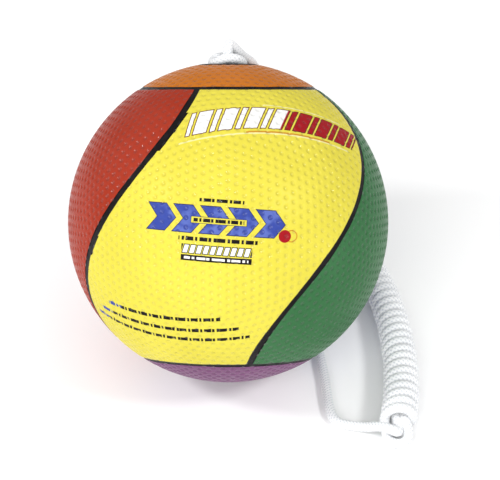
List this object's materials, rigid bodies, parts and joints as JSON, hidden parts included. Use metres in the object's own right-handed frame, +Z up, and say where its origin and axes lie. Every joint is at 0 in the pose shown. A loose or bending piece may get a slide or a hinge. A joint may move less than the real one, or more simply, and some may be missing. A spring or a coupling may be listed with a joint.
{
  "type": "tetherball",
  "caption": "Rubber tetherball with a dimpled panelled cover, a recessed tether bar and a braided rope knotted on and wound into a hank.",
  "frame": {"origin": "the point on the ground that the ball rests on, straight under its centre", "axes": "+Z up; the ball's pole axis leans from +Z towards +Y, so the tether knot is up and back; the rope lies on the ground on the +X side"},
  "size_m": [0.2533, 0.2351, 0.2286],
  "materials": {
    "cover_orange": "dimpled, slightly glossy",
    "cover_red": "dimpled, slightly glossy",
    "cover_yellow": "dimpled, slightly glossy",
    "cover_green": "dimpled, slightly glossy",
    "cover_blue": "dimpled, slightly glossy",
    "cover_purple": "dimpled, slightly glossy",
    "black_rubber": "satin",
    "winding_thread": "wound thread",
    "butyl": "matte",
    "steel_bar": "drawn",
    "valve_rubber": "matte",
    "rope": "braided nylon"
  },
  "bodies": {
    "ball": {"panel_orange": "cover_orange", "panel_red": "cover_red", "panel_yellow": "cover_yellow", "panel_green": "cover_green", "panel_blue": "cover_blue", "panel_purple": "cover_purple", "seam_strips": "black_rubber", "carcass": "black_rubber", "nylon_winding": "winding_thread", "bladder": "butyl", "tether_cup": "black_rubber", "tether_bar": "steel_bar", "valve_housing": "black_rubber", "valve_plug": "valve_rubber", "rope_run": "rope", "rope_hank": "rope", "hank_eye": "rope", "hank_far_loop": "rope"},
    "tether": {"tether_loop": "rope", "tether_knot": "rope"}
  },
  "joints": [
    {"name": "tether_swing", "type": "hinge", "parent": "ball", "child": "tether", "pos_m": [0, 0.06398, 0.20044], "axis": [1, 0, 0], "range_deg": [-15, 15]}
  ]
}
